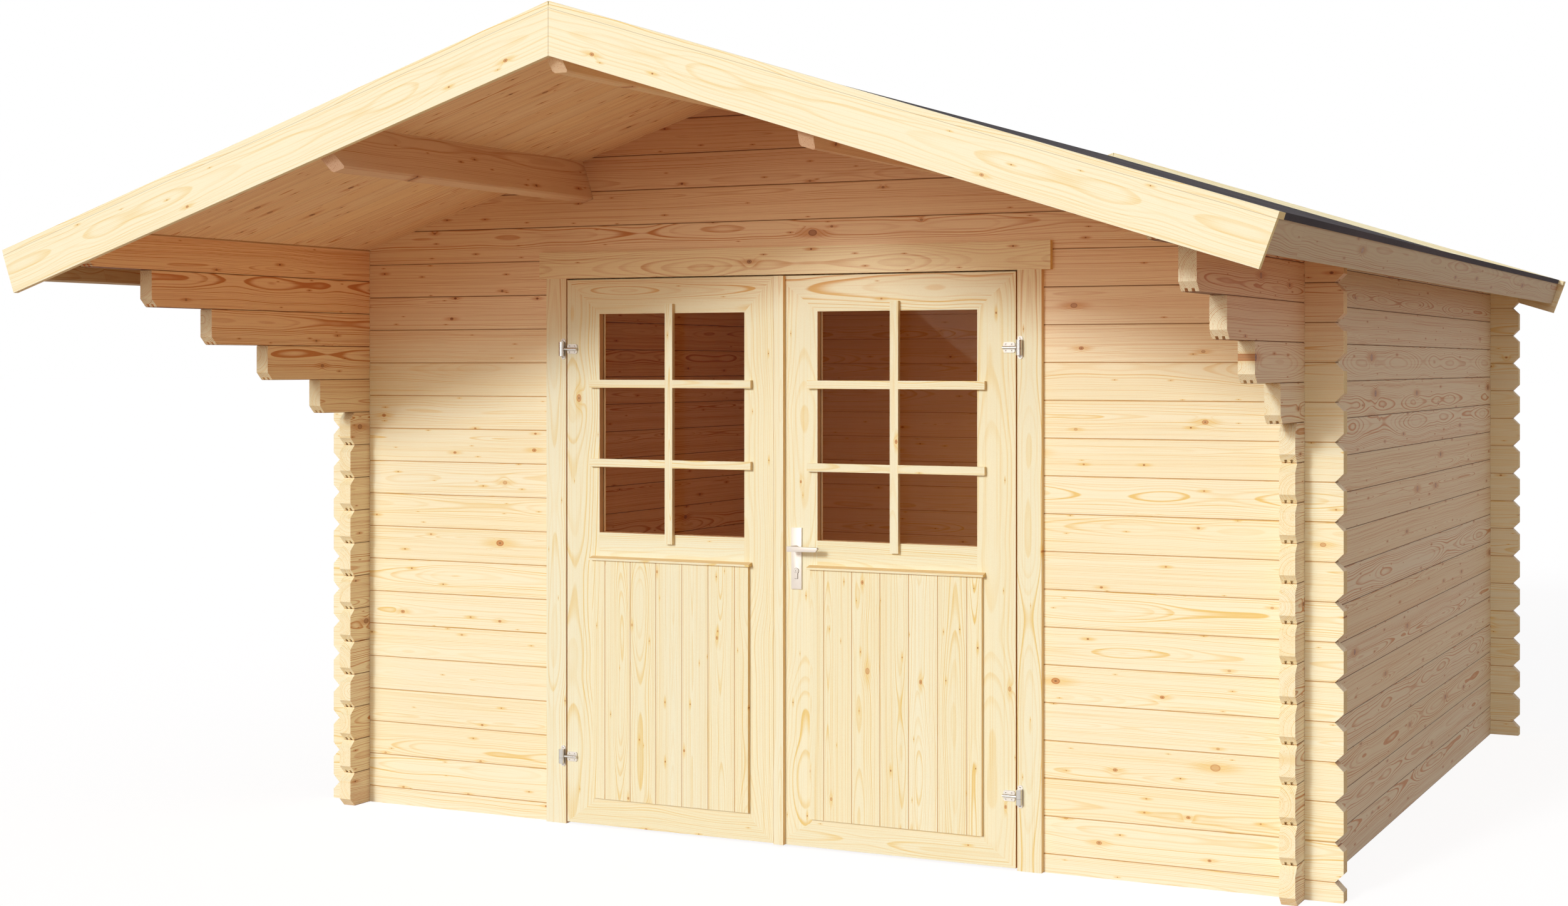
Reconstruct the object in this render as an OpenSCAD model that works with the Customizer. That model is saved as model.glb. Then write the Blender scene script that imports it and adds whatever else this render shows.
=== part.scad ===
// Log garden house with a deep front canopy and a glazed double door.
// Millimetres, +Z up. The front faces -Y. The origin is the centre of the plan outline at ground level.

/* [Logs] */
// height of one log
log_h = 114; // [104:1:124]
// thickness of the wall logs
log_t = 46; // [38:1:60]
// number of logs in a side wall
side_logs = 17; // [16:1:19]
// length of a log end past the crossing wall
log_end = 111; // [70:1:130]
// bevel on the log ends
end_bevel = 25; // [10:1:40]
// depth of the V groove at every seam
seam_d = 2.5; // [1:0.5:5]
// clearance in the corner notches
notch_gap = 0.5; // [0.2:0.1:1.5]
// width of the two grooves under a log
slot_w = 8; // [5:0.5:10]
// depth of the two grooves under a log
slot_d = 9; // [5:0.5:12]
// distance between the middles of the two grooves
slot_pitch = 17.5; // [14:0.5:20]

/* [House] */
// width over the outer faces of the side walls
house_w = 3332; // [3200:1:4200]
// depth over the outer faces of the front and rear walls
house_d = 3292; // [2600:1:4200]
// step of the lowest corbel past the plain log ends
corbel_first = 167; // [100:1:220]
// step between the other corbels
corbel_step = 274.5; // [200:1:290]
// number of stepped corbel logs below the top log
corbels = 4; // [2:1:4]

/* [Roof] */
// roof pitch in degrees
pitch = 17.56; // [14:0.1:20]
// canopy depth from the front wall face to the bargeboard face
front_over = 1396; // [1350:1:1700]
// gap between the rear log ends and the rear bargeboard
rear_gap = 1.5; // [1:0.5:20]
// overhang of the roof edge past the side wall, along the slope
eave_out = 275; // [240:1:360]
// thickness of the roof boards
deck_t = 20; // [16:1:30]
// thickness of the roofing felt build-up
felt_t = 6; // [3:1:10]
// height of the bargeboard below the felt surface
barge_h = 121; // [110:1:160]
// thickness of the bargeboard
barge_t = 18; // [14:1:28]
// lean of the bargeboard's end cut past square
end_lean = 6; // [0:0.5:12]
// height of the cap strip on the bargeboard
cap_h = 17; // [10:1:30]
// width of the cap strip
cap_w = 60; // [40:1:80]
// setback of the cap strip from the bargeboard face
cap_back = 1; // [0.5:0.5:12]
// opening of the V between the cap strips at the ridge, on each side
cap_notch = 2; // [1:0.5:5]
// height of the eave fascia
fascia_h = 86; // [60:1:110]
// thickness of the eave fascia
fascia_t = 18; // [14:1:24]
// distance from the bargeboard end to the fascia face
fascia_in = 22; // [10:1:40]
// run of the raised felt edge up the slope
lip_run = 50; // [30:1:90]
// distance the felt edge stands past the fascia
lip_out = 3; // [1:1:8]
// seating clearance between roof pieces
seat_gap = 0.05; // [0.02:0.01:0.2]

/* [Purlins] */
// width of a purlin
purlin_w = 46; // [40:1:80]
// height of a side purlin
purlin_h = 132; // [110:1:160]
// height of the ridge purlin below the roof peak
ridge_h = 138; // [115:1:170]
// distance of a side purlin from the ridge, along the slope
purlin_u = 807; // [600:1:1100]
// bevel on the purlin ends
purlin_bevel = 44; // [20:1:60]
// edge chamfer under a purlin
purlin_edge = 5; // [2:1:10]

/* [Doorway] */
// half width between the door casings
door_half = 800; // [760:1:900]
// width of the door casing boards
casing_w = 77.5; // [60:0.5:110]
// thickness of the door casing boards
casing_t = 20; // [14:1:28]
// height of the header board
header_h = 88; // [80:1:120]
// header length past the casing on each side
header_out = 28; // [10:1:60]
// height of the door head under the lintel log
head_drop = 61; // [40:1:80]
// width of the door frame in the wall
jamb_w = 42; // [25:1:60]
// width of the door stop
stop_w = 25; // [15:1:35]
// height of the sill and of the floor surface
floor_z = 45; // [35:1:80]
// thickness of the floor boards
floor_t = 19; // [15:1:28]
// width of a floor bearer
bearer_w = 70; // [45:1:90]
// number of floor bearers
bearers = 6; // [4:1:8]

/* [Leaves] */
// gap around a closed leaf
leaf_gap = 5; // [5:0.5:8]
// clearance under the leaves
leaf_lift = 7; // [6:1:20]
// thickness of a leaf frame
leaf_t = 40; // [34:1:44]
// width of the hinge stile
stile_w = 125; // [100:1:150]
// distance of the window edge from the middle of the door
window_in = 130; // [115:1:160]
// height of the top rail
top_rail = 114; // [90:1:140]
// height of the bottom rail
bottom_rail = 90; // [70:1:120]
// height of the window bottom above ground
window_z = 977; // [920:1:1050]
// height of the middle rail
mid_rail = 107; // [100:1:140]
// thickness of the glass
glass_t = 4; // [3:1:8]
// depth of the glass behind the leaf face
glass_in = 24; // [16:1:26]
// width of the upright glazing bar
bar_w = 28; // [20:1:40]
// height of the crossbars
cross_h = 26; // [18:1:36]
// thickness of the glazing bars
bar_t = 16; // [8:1:20]
// overlap of the bar ends on the frame
bar_lap = 30; // [15:1:40]
// thickness of the lower panel in front of the frame
panel_t = 14; // [8:1:18]
// overlap of the lower panel on the stiles
panel_lap = 20; // [10:1:30]
// number of panel boards
panel_boards = 7; // [5:1:9]
// depth of the grooves between panel boards
panel_groove = 2; // [1:0.5:4]
// height of the drip strip
drip_h = 13; // [8:1:24]
// depth of the drip strip
drip_t = 24; // [18:1:30]
// half width of the cover strip
cover_half = 17; // [14:1:25]
// thickness of the cover strip
cover_t = 16.6; // [10:0.2:24]
// gap between the closed leaves
meet_gap = 9; // [8.5:0.5:12]

/* [Hinges] */
// distance of the hinge axis from the casing edge
hinge_x = 10; // [8:1:14]
// radius of the hinge barrel
barrel_r = 9.5; // [7:0.5:10.5]
// length of the hinge barrel
barrel_h = 47; // [40:1:56]
// length of the lower knuckle on the frame
knuckle_low = 18.5; // [12:0.5:22]
// height of a frame plate with its rounded ends
hinge_h = 70; // [62:1:90]
// width of a frame plate
frame_plate = 16.5; // [14:0.5:19]
// height of the lower hinge bottom above ground
hinge_low = 191; // [160:1:260]
// distance of the upper hinge top below the leaf top
hinge_drop = 195; // [150:1:260]
// thickness of the hinge plates
plate_t = 3; // [2:0.5:4]
// reach of the leaf plate from the hinge axis
leaf_plate = 54; // [44:1:70]
// height of a leaf plate
leaf_plate_h = 32; // [26:1:40]
// corner cut of a leaf plate
plate_cut = 4; // [2:0.5:6]
// radius of the hinge pin on the leaf
pin_r = 4.6; // [3:0.1:6]
// gap between the two hinge knuckles
knuckle_gap = 0.5; // [0.3:0.1:2]
// gap between a leaf knuckle and the frame plate
knuckle_back = 0.6; // [0.4:0.1:1.5]

/* [Lock] */
// distance of the lock from the middle of the door
lock_x = 59; // [50:1:80]
// width of the lock plate
lock_w = 36; // [28:1:44]
// height of the lock plate
lock_h = 195; // [160:1:240]
// height of the lock plate bottom above ground
lock_z = 821; // [760:1:880]
// thickness of the lock plate
lock_t = 6.5; // [4:0.5:10]
// height of the lever axis above the plate bottom
lever_up = 130.5; // [110:1:150]
// height of the cylinder above the plate bottom
cyl_up = 58; // [40:1:75]
// radius of the round part of the cylinder
cyl_r = 8.5; // [6:0.5:10]
// length of the cylinder stem
cyl_stem = 24; // [18:1:30]
// distance the cylinder stands out
cyl_out = 3; // [1:0.5:6]
// distance of the lever in front of the plate
lever_out = 47; // [35:1:60]
// length of the lever from its axis
lever_len = 98; // [80:1:125]
// height of the lever at its axis
lever_h = 17; // [12:0.5:22]
// height of the lever at its end
lever_tip = 13; // [9:0.5:16]
// depth of the lever
lever_d = 12; // [8:0.5:18]
// radius of the lever neck
neck_r = 9; // [7:0.5:12]

/* [Hidden] */
cp = cos(pitch);
sp = sin(pitch);
x_out = house_w / 2;
x_in = x_out - log_t;
x_end = x_out + log_end;
wall_top = side_logs * log_h;
peak = wall_top + x_in * sp / cp - 3;
peak_wall = peak - seat_gap;
rear_over = log_end + rear_gap + barge_t;
roof_l = front_over + house_d + rear_over;
yf = front_over - roof_l / 2;
yr = yf + house_d;
y_barge_f = yf - front_over;
y_barge_r = yr + rear_over;
y_roof_f = y_barge_f + barge_t;
y_roof_r = y_barge_r - barge_t;
u_end = x_out / cp + eave_out;
u_fascia = u_end - fascia_in;
u_deck = u_fascia - fascia_t - seat_gap;
y_lip_f = y_barge_f + cap_back + cap_w + seat_gap;
y_lip_r = y_barge_r - cap_back - cap_w - seat_gap;
v_felt = deck_t + felt_t;
v_cap = v_felt + cap_h;
gable_z = (side_logs - 0.5) * log_h;
open_half = door_half + jamb_w;
leaf_z0 = leaf_lift;
head_z = gable_z - head_drop;
leaf_z1 = head_z - leaf_gap;
y_face = yf - casing_t;
leaf_x = door_half - leaf_gap;
y_stop = y_face + leaf_t + leaf_gap;
window_out = leaf_x - stile_w;
window_top = leaf_z1 - top_rail;
meet_right = -cover_half;
meet_left = cover_half + meet_gap;
axis_x = door_half + hinge_x;
axis_y = y_face - plate_t - knuckle_back - barrel_r;
panel_top = window_z - mid_rail + 16;
big = 6000;
c = 0.01;

// point on the slope: u runs down from the ridge, v stands square to it
function sl(u, v) = [u * cp + v * sp, peak - u * sp + v * cp];
// the slope point with the given v that lies on the middle plane
function at_peak(v) = [0, peak + v / cp];
function flip(s, p) = [s * p[0], p[1]];
function corbel_y(k) =
    k < side_logs - 1 - corbels ? yf - log_end
    : k == side_logs - 1 ? y_roof_f + 2
    : yf - log_end - corbel_first - (k - (side_logs - 1 - corbels)) * corbel_step;

// box between two x values on side s, two y values and two z values
module bx(s, xa, xb, ya, yb, za, zb) {
    translate([min(s * xa, s * xb), ya, za])
        cube([xb - xa, yb - ya, zb - za]);
}

// prism with an x-z outline between two y values
module along_y(ya, yb, pts) {
    translate([0, yb, 0])
        rotate([90, 0, 0])
            linear_extrude(height = yb - ya)
                polygon(pts);
}

// prism with a y-z outline between two x values
module along_x(xa, xb, pts) {
    translate([xa, 0, 0])
        rotate([90, 0, 90])
            linear_extrude(height = xb - xa)
                polygon(pts);
}

// outline of a wall section, with a groove pair at every seam
function seam_line(w0, dir, seams) = [
    for (z = seams)
        for (p = [[w0, z - seam_d], [w0 + dir * seam_d, z], [w0, z + seam_d]])
            p
];

function rev(list) = [for (i = [len(list) - 1:-1:0]) list[i]];

side_seams = [for (k = [1:side_logs - 1]) k * log_h];
front_seams = [for (k = [0:side_logs - 2]) (k + 0.5) * log_h];
gable_seams = [for (k = [side_logs:side_logs + 8])
    if ((k + 0.5) * log_h < peak - 60) (k + 0.5) * log_h];

// outline of a side wall with stepped corbels in front
function side_outline() = concat(
    [for (k = [0:side_logs - 1])
        for (p = k < side_logs - 1 - corbels
            ? [[corbel_y(k) + end_bevel, k * log_h],
               [corbel_y(k), k * log_h + end_bevel],
               [corbel_y(k), (k + 1) * log_h - end_bevel],
               [corbel_y(k) + end_bevel, (k + 1) * log_h - c]]
            : [[corbel_y(k) + end_bevel, k * log_h],
               [corbel_y(k), k * log_h + end_bevel],
               [corbel_y(k), (k + 1) * log_h]])
            p],
    [for (k = [side_logs - 1:-1:0])
        for (p = [[yr + log_end - end_bevel, (k + 1) * log_h - (k < side_logs - 1 ? c : 0)],
                  [yr + log_end, (k + 1) * log_h - end_bevel],
                  [yr + log_end, k * log_h + end_bevel],
                  [yr + log_end - end_bevel, k * log_h]])
            p]
);

// two grooves that run under a log from its end at ya to yb, or in x on a front wall
module slots_y(s, ya, yb, z) {
    for (i = [-1, 1])
        bx(s, x_out - log_t / 2 + i * slot_pitch / 2 - slot_w / 2,
            x_out - log_t / 2 + i * slot_pitch / 2 + slot_w / 2, ya, yb, z - 1, z + slot_d);
}

module slots_x(s, y, z) {
    for (i = [-1, 1])
        bx(s, x_end - end_bevel - slot_d, x_end + 1,
            y + log_t / 2 + i * slot_pitch / 2 - slot_w / 2,
            y + log_t / 2 + i * slot_pitch / 2 + slot_w / 2, z - 1, z + slot_d);
}

module side_wall(s) {
    difference() {
        intersection() {
            along_x(min(s * x_in, s * x_out), max(s * x_in, s * x_out), side_outline());
            along_y(y_barge_f, y_barge_r, concat(
                [[s * x_in, 0], [s * x_out, 0]],
                seam_line(s * x_out, -s, side_seams),
                [[s * x_out, peak_wall - x_out * sp / cp], [s * x_in, peak_wall - x_in * sp / cp]],
                rev(seam_line(s * x_in, s, side_seams))
            ));
        }
        for (k = [1:side_logs - 1]) {
            slots_y(s, corbel_y(k) - 1,
                max(corbel_y(k - 1), corbel_y(k)) + end_bevel + slot_d, k * log_h);
            slots_y(s, yr + log_end - end_bevel - slot_d, yr + log_end + 1, k * log_h);
        }
        for (k = [0:side_logs])
            for (y = [yf, yr - log_t])
                bx(s, x_in - 1, x_out + 1, y - notch_gap, y + log_t + notch_gap,
                    (k - 0.25) * log_h - notch_gap, (k + 0.25) * log_h + notch_gap);
    }
}

module wall_left() {
    color("burlywood") side_wall(-1);
}

module wall_right() {
    color("burlywood") side_wall(1);
}

// bevelled log ends of a front or rear wall, bottom to top
function end_line(s) = concat(
    [[s * (x_end - c), 0], [s * x_end, c], [s * x_end, log_h / 2 - end_bevel],
     [s * (x_end - end_bevel), log_h / 2 - c]],
    [for (k = [1:side_logs - 1])
        for (p = [[x_end - end_bevel, (k - 0.5) * log_h],
                  [x_end, (k - 0.5) * log_h + end_bevel],
                  [x_end, (k + 0.5) * log_h - end_bevel],
                  [x_end - end_bevel, (k + 0.5) * log_h - (k < side_logs - 1 ? c : 0)]])
            [s * p[0], p[1]]]
);

// wall section across the thickness, from za to zb
function cross_line(y, za, zb, seams) = concat(
    [[y, za], [y + log_t, za]],
    seam_line(y + log_t, -1, seams),
    [[y + log_t, zb], [y, zb]],
    rev(seam_line(y, 1, seams))
);

// notches where the side wall logs pass through a front or rear wall
module corner_notches(y) {
    for (s = [-1, 1])
        for (k = [0:side_logs - 1])
            bx(s, x_in - notch_gap, x_out + notch_gap, y - 1, y + log_t + 1,
                (k + 0.25) * log_h - notch_gap, (k + 0.75) * log_h + notch_gap);
}

module front_wall(s) {
    difference() {
        intersection() {
            along_y(yf, yf + log_t, concat([[s * open_half, 0]], end_line(s),
                [[s * open_half, gable_z]]));
            along_x(-x_end, x_end, cross_line(yf, 0, gable_z, front_seams_low));
        }
        for (k = [1:side_logs - 1])
            slots_x(s, yf, (k - 0.5) * log_h);
        corner_notches(yf);
    }
}
front_seams_low = [for (z = front_seams) if (z < gable_z - 1) z];

module wall_front_left() {
    color("wheat") front_wall(-1);
}

module wall_front_right() {
    color("wheat") front_wall(1);
}

// gable outline above the log walls
gable_line = [
    [-x_out, gable_z], [x_out, gable_z], [x_out, peak_wall - x_out * sp / cp],
    [0, peak_wall], [-x_out, peak_wall - x_out * sp / cp]
];

// room for the three purlins in a gable
module purlin_holes() {
    along_y(y_barge_f, y_barge_r, [
        [-purlin_w / 2 - notch_gap, peak - ridge_h - notch_gap],
        [purlin_w / 2 + notch_gap, peak - ridge_h - notch_gap],
        [purlin_w / 2 + notch_gap, peak + 20],
        [-purlin_w / 2 - notch_gap, peak + 20]
    ]);
    for (s = [-1, 1])
        along_y(y_barge_f, y_barge_r, [
            flip(s, sl(purlin_u - purlin_w / 2 - notch_gap, 20)),
            flip(s, sl(purlin_u + purlin_w / 2 + notch_gap, 20)),
            flip(s, sl(purlin_u + purlin_w / 2 + notch_gap, -purlin_h - notch_gap)),
            flip(s, sl(purlin_u - purlin_w / 2 - notch_gap, -purlin_h - notch_gap))
        ]);
}

module gable_front() {
    color("wheat") difference() {
        intersection() {
            along_y(yf, yf + log_t, gable_line);
            along_x(-x_out, x_out, cross_line(yf, gable_z, peak, gable_seams));
        }
        corner_notches(yf);
        purlin_holes();
    }
}

module wall_rear() {
    color("wheat") difference() {
        intersection() {
            union() {
                along_y(yr - log_t, yr, gable_line);
                along_y(yr - log_t, yr, concat(end_line(1), rev(end_line(-1))));
            }
            along_x(-x_end, x_end,
                cross_line(yr - log_t, 0, peak, concat(front_seams, gable_seams)));
        }
        for (s = [-1, 1])
            for (k = [1:side_logs - 1])
                slots_x(s, yr - log_t, (k - 0.5) * log_h);
        corner_notches(yr - log_t);
        purlin_holes();
    }
}

// bevel cut at both ends of a purlin whose underside is at z
module purlin_ends(z) {
    along_x(-purlin_w, purlin_w, [
        [y_roof_f - 1, z + purlin_bevel + 1], [y_roof_f - 1, z - 1],
        [y_roof_f + purlin_bevel + 1, z - 1]
    ]);
    along_x(-purlin_w, purlin_w, [
        [y_roof_r + 1, z + purlin_bevel + 1], [y_roof_r + 1, z - 1],
        [y_roof_r - purlin_bevel - 1, z - 1]
    ]);
}

module purlin_ridge() {
    color("tan") difference() {
        along_y(y_roof_f + seat_gap, y_roof_r - seat_gap, [
            [-purlin_w / 2, peak - ridge_h + purlin_edge],
            [-purlin_w / 2 + purlin_edge, peak - ridge_h],
            [purlin_w / 2 - purlin_edge, peak - ridge_h],
            [purlin_w / 2, peak - ridge_h + purlin_edge],
            [purlin_w / 2, peak_wall - purlin_w / 2 * sp / cp],
            [0, peak_wall],
            [-purlin_w / 2, peak_wall - purlin_w / 2 * sp / cp]
        ]);
        purlin_ends(peak - ridge_h);
    }
}

module side_purlin(s) {
    translate([s * sl(purlin_u, 0)[0], 0, sl(purlin_u, 0)[1]])
        rotate([0, s * pitch, 0])
            difference() {
                along_y(y_roof_f + seat_gap, y_roof_r - seat_gap, [
                    [-purlin_w / 2, -purlin_h + purlin_edge],
                    [-purlin_w / 2 + purlin_edge, -purlin_h],
                    [purlin_w / 2 - purlin_edge, -purlin_h],
                    [purlin_w / 2, -purlin_h + purlin_edge],
                    [purlin_w / 2, -seat_gap],
                    [-purlin_w / 2, -seat_gap]
                ]);
                purlin_ends(-purlin_h);
            }
}

module purlin_left() {
    color("tan") side_purlin(-1);
}

module purlin_right() {
    color("tan") side_purlin(1);
}

// layer of the roof slope between two heights above the soffit
module layer(s, v0, v1, u1, ya, yb) {
    along_y(ya, yb, [
        flip(s, at_peak(v0)), flip(s, sl(u1, v0)), flip(s, sl(u1, v1)), flip(s, at_peak(v1))
    ]);
}

module deck_left() {
    color("peru") layer(-1, 0, deck_t, u_deck, y_roof_f, y_roof_r);
}

module deck_right() {
    color("peru") layer(1, 0, deck_t, u_deck, y_roof_f, y_roof_r);
}

// felt sheet with a raised edge along the eave, between the cap strips
module felt(s) {
    layer(s, deck_t + seat_gap, v_felt, u_deck, y_roof_f, y_roof_r);
    along_y(y_lip_f, y_lip_r, [
        flip(s, sl(u_fascia - lip_run, v_felt - 1)),
        flip(s, sl(u_deck, v_felt - 1)),
        flip(s, sl(u_deck, v_felt + seat_gap)),
        flip(s, sl(u_fascia + lip_out, v_felt + seat_gap)),
        flip(s, sl(u_fascia + lip_out, v_cap)),
        flip(s, sl(u_fascia - fascia_t, v_cap)),
        flip(s, sl(u_fascia - lip_run, v_felt))
    ]);
}

module felt_left() {
    color("dimgray") felt(-1);
}

module felt_right() {
    color("dimgray") felt(1);
}

module fascia(s) {
    along_y(y_roof_f, y_roof_r, [
        flip(s, sl(u_fascia - fascia_t, v_felt)), flip(s, sl(u_fascia, v_felt)),
        flip(s, sl(u_fascia, v_felt - fascia_h)), flip(s, sl(u_fascia - fascia_t, v_felt - fascia_h))
    ]);
}

module fascia_left() {
    color("sienna") fascia(-1);
}

module fascia_right() {
    color("sienna") fascia(1);
}

module bargeboards(s) {
    for (y = [y_barge_f, y_barge_r - barge_t])
        along_y(y, y + barge_t, [
            at_peak(v_felt - barge_h), flip(s, sl(u_end - end_lean, v_felt - barge_h)),
            flip(s, sl(u_end, v_felt)), at_peak(v_felt)
        ]);
}

module bargeboards_left() {
    color("moccasin") bargeboards(-1);
}

module bargeboards_right() {
    color("moccasin") bargeboards(1);
}

// cap strips, which leave a small V at the ridge
module caps(s) {
    v0 = v_felt + seat_gap;
    u0 = -v_felt * sp / cp;
    u1 = -v_cap * sp / cp + cap_notch;
    for (y = [y_barge_f + cap_back, y_barge_r - cap_back - cap_w])
        along_y(y, y + cap_w, [
            flip(s, sl(u0, v0)), flip(s, sl(u_end, v0)),
            flip(s, sl(u_end, v_cap)), flip(s, sl(u1, v_cap))
        ]);
}

module caps_left() {
    color("moccasin") caps(-1);
}

module caps_right() {
    color("moccasin") caps(1);
}

module door_casings() {
    color("wheat") for (s = [-1, 1])
        bx(s, door_half, door_half + casing_w, y_face, yf, 0, head_z);
}

module door_header() {
    color("wheat") bx(1, -door_half - casing_w - header_out, door_half + casing_w + header_out,
        y_face, yf, head_z, head_z + header_h);
}

module door_jambs() {
    color("tan") for (s = [-1, 1]) {
        bx(s, door_half, open_half, yf, yf + log_t, 0, head_z);
        bx(s, door_half - stop_w, door_half + 1, y_stop, yf + log_t, 0, head_z);
    }
}

module door_head() {
    color("tan") {
        bx(1, -open_half, open_half, yf, yf + log_t, head_z, gable_z);
        bx(1, -door_half + stop_w, door_half - stop_w, y_stop, yf + log_t,
            head_z - stop_w, head_z + 1);
    }
}

module door_sill() {
    color("tan") bx(1, -door_half + stop_w, door_half - stop_w, y_stop, yf + log_t, 0, floor_z);
}

module floor_deck() {
    color("tan") {
        bx(1, -x_in, x_in, yf + log_t, yr - log_t, floor_z - floor_t, floor_z);
        for (i = [0:bearers - 1])
            translate([-x_in + i * (2 * x_in - bearer_w) / (bearers - 1), yf + log_t, 0])
                cube([bearer_w, yr - yf - 2 * log_t, floor_z - floor_t + 1]);
    }
}

hinge_zs = [hinge_low, leaf_z1 - hinge_drop - hinge_h];
barrel_z = (hinge_h - barrel_h) / 2;

// frame halves of the hinges: plate with round ends on the casing and the lower knuckle
module hinge_frames() {
    color("silver") for (s = [-1, 1])
        for (z = hinge_zs) {
            bx(s, axis_x - frame_plate / 2, axis_x + frame_plate / 2, y_face - plate_t, y_face,
                z + frame_plate / 2, z + hinge_h - frame_plate / 2);
            for (e = [frame_plate / 2, hinge_h - frame_plate / 2])
                translate([s * axis_x, y_face, z + e])
                    rotate([90, 0, 0])
                        cylinder(r = frame_plate / 2, h = plate_t, $fn = 48);
            translate([s * axis_x, axis_y, z + barrel_z])
                cylinder(r = barrel_r, h = knuckle_low, $fn = 48);
            bx(s, axis_x - plate_t, axis_x + plate_t, axis_y, y_face - 1,
                z + barrel_z, z + barrel_z + knuckle_low);
        }
}

// leaf halves of the hinges: plate on the stile, pin and upper knuckle
module leaf_hinges(s) {
    xa = axis_x - leaf_plate;
    xb = axis_x - leaf_gap - hinge_x - 1.5;
    for (z = hinge_zs) {
        zm = z + hinge_h / 2;
        z0 = zm - leaf_plate_h / 2;
        z1 = zm + leaf_plate_h / 2;
        along_y(y_face - plate_t - 1, y_face, [
            [s * xa, z0 + plate_cut], [s * (xa + plate_cut), z0],
            [s * (xb - plate_cut), z0], [s * xb, z0 + plate_cut],
            [s * xb, z1 - plate_cut], [s * (xb - plate_cut), z1],
            [s * (xa + plate_cut), z1], [s * xa, z1 - plate_cut]
        ]);
        translate([min(s * (xa - 1), s * axis_x), y_face - plate_t - knuckle_back - pin_r, zm])
            rotate([0, 90, 0])
                cylinder(r = pin_r, h = leaf_plate + 1, $fn = 48);
        translate([s * axis_x, axis_y, z + barrel_z + knuckle_low + knuckle_gap])
            cylinder(r = barrel_r, h = barrel_h - knuckle_low - knuckle_gap, $fn = 48);
    }
}

module left_hinges() {
    color("silver") leaf_hinges(-1);
}

module right_hinges() {
    color("silver") leaf_hinges(1);
}

// stiles with mitred ends; m is the meeting edge of the leaf
module stiles(s, m) {
    along_y(y_face, y_face + leaf_t, [
        [s * leaf_x, leaf_z0], [s * leaf_x, leaf_z1],
        [s * window_out, window_top], [s * window_out, leaf_z0 + bottom_rail]
    ]);
    along_y(y_face, y_face + leaf_t, [
        [s * m, leaf_z0], [s * m, leaf_z1],
        [s * window_in, window_top], [s * window_in, leaf_z0 + bottom_rail]
    ]);
}

// mitred top and bottom rails and the middle rail between the stiles
module rails(s, m) {
    along_y(y_face, y_face + leaf_t, [
        [s * leaf_x, leaf_z1], [s * m, leaf_z1],
        [s * window_in, window_top], [s * window_out, window_top]
    ]);
    along_y(y_face, y_face + leaf_t, [
        [s * leaf_x, leaf_z0], [s * m, leaf_z0],
        [s * window_in, leaf_z0 + bottom_rail], [s * window_out, leaf_z0 + bottom_rail]
    ]);
    bx(s, window_in, window_out, y_face, y_face + leaf_t, window_z - mid_rail, window_z);
}

module pane(s) {
    bx(s, window_in, window_out, y_face + glass_in, y_face + glass_in + glass_t,
        window_z, window_top);
}

// glazing bars: the crossbars part the upright one in three
module glazing_bars(s) {
    mid = (window_in + window_out) / 2;
    z0 = window_z - bar_lap;
    third = (window_top + bar_lap - z0) / 3;
    bx(s, mid - bar_w / 2, mid + bar_w / 2, y_face - bar_t, y_face, z0, z0 + 3 * third);
    for (z = [z0 + third, z0 + 2 * third])
        bx(s, window_in - bar_lap, window_out + bar_lap, y_face - bar_t, y_face,
            z - cross_h / 2, z + cross_h / 2);
}

// boarded panel: front plate over the stiles and a core between them
module panel(s) {
    xa = window_in - panel_lap;
    xb = window_out + panel_lap;
    bw = (xb - xa) / (panel_boards - 1);
    difference() {
        union() {
            bx(s, xa, xb, y_face - panel_t, y_face, leaf_z0 + bottom_rail, panel_top);
            bx(s, window_in, window_out, y_face - 1, y_face + leaf_t / 2,
                leaf_z0 + bottom_rail, window_z - mid_rail);
        }
        for (i = [0:panel_boards - 2])
            translate([s * (xa + (i + 0.5) * bw), y_face - panel_t, leaf_z0 + bottom_rail - 1])
                rotate([0, 0, 45])
                    translate([-panel_groove / 2, -panel_groove / 2, 0])
                        cube([panel_groove, panel_groove, panel_top]);
    }
}

module drip(s) {
    along_x(min(s * (window_in - panel_lap - 8), s * (window_out + panel_lap + 8)),
        max(s * (window_in - panel_lap - 8), s * (window_out + panel_lap + 8)), [
        [y_face, panel_top], [y_face, panel_top + drip_h],
        [y_face - drip_t, panel_top + drip_h / 2], [y_face - drip_t, panel_top]
    ]);
}

module left_stiles() {
    color("wheat") stiles(-1, meet_left);
}

module left_rails() {
    color("wheat") rails(-1, meet_left);
}

module left_glass() {
    color("lightblue") pane(-1);
}

module left_bars() {
    color("wheat") glazing_bars(-1);
}

module left_panel() {
    color("wheat") panel(-1);
}

module left_drip() {
    color("wheat") drip(-1);
}

module right_stiles() {
    color("wheat") stiles(1, meet_right);
}

module right_rails() {
    color("wheat") rails(1, meet_right);
}

module right_glass() {
    color("lightblue") pane(1);
}

module right_bars() {
    color("wheat") glazing_bars(1);
}

module right_panel() {
    color("wheat") panel(1);
}

module right_drip() {
    color("wheat") drip(1);
}

module cover_strip() {
    color("wheat") bx(1, -cover_half, cover_half, y_face - cover_t, y_face, leaf_z0, leaf_z1);
}

// lock plate with the profile cylinder
module lock_plate() {
    color("silver") {
        bx(1, lock_x - lock_w / 2, lock_x + lock_w / 2, y_face - lock_t, y_face,
            lock_z, lock_z + lock_h);
        translate([lock_x, y_face - 1, lock_z + cyl_up])
            rotate([90, 0, 0])
                cylinder(r = cyl_r, h = lock_t + cyl_out - 1, $fn = 48);
        bx(1, lock_x - cyl_r * 0.6, lock_x + cyl_r * 0.6, y_face - lock_t - cyl_out, y_face - 1,
            lock_z + cyl_up - cyl_stem, lock_z + cyl_up);
    }
}

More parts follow.
